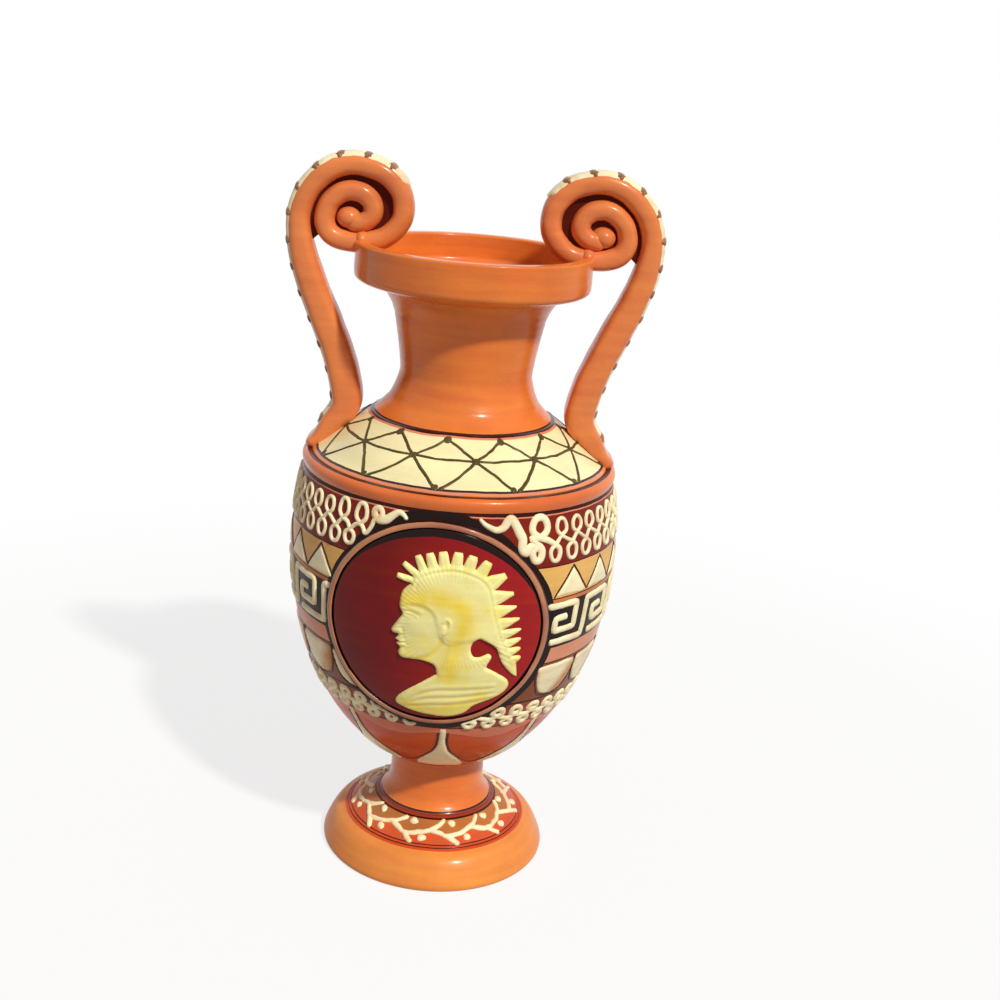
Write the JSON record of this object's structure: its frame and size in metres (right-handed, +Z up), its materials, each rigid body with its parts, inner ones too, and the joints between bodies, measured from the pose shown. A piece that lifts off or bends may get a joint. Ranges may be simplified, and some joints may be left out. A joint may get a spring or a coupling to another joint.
{
  "type": "urn vase",
  "caption": "Footed terracotta urn vase: egg-shaped body, conical shoulder, waisted neck, banded rim, rolled strap handles ending in volutes, relief medallion.",
  "frame": {"origin": "centre of the foot's base, on the surface the vase stands on", "axes": "+Z up along the turning axis; the medallion faces -Y; the handles stand along +X and -X"},
  "size_m": [0.1444, 0.1353, 0.2881],
  "materials": {
    "terracotta": "glossy terracotta, clear glazed",
    "body_painted": "glossy, painted in slip bands",
    "cream_slip": "glossy cream slip with dark lines",
    "medallion_red": "glossy dark red slip",
    "ring_tan": "glossy tan slip with black edges",
    "relief_cream": "glossy cream slip shaded yellow"
  },
  "bodies": {
    "root": {"foot_disc": "terracotta", "foot_stem": "terracotta", "body_bowl": "body_painted", "body_shoulder": "cream_slip", "shoulder_cordon": "terracotta", "neck": "terracotta", "rim_collar": "terracotta", "handle_left": "terracotta", "handle_right": "terracotta", "medallion_disc": "medallion_red", "medallion_ring": "ring_tan", "medallion_figure": "relief_cream"}
  },
  "joints": []
}
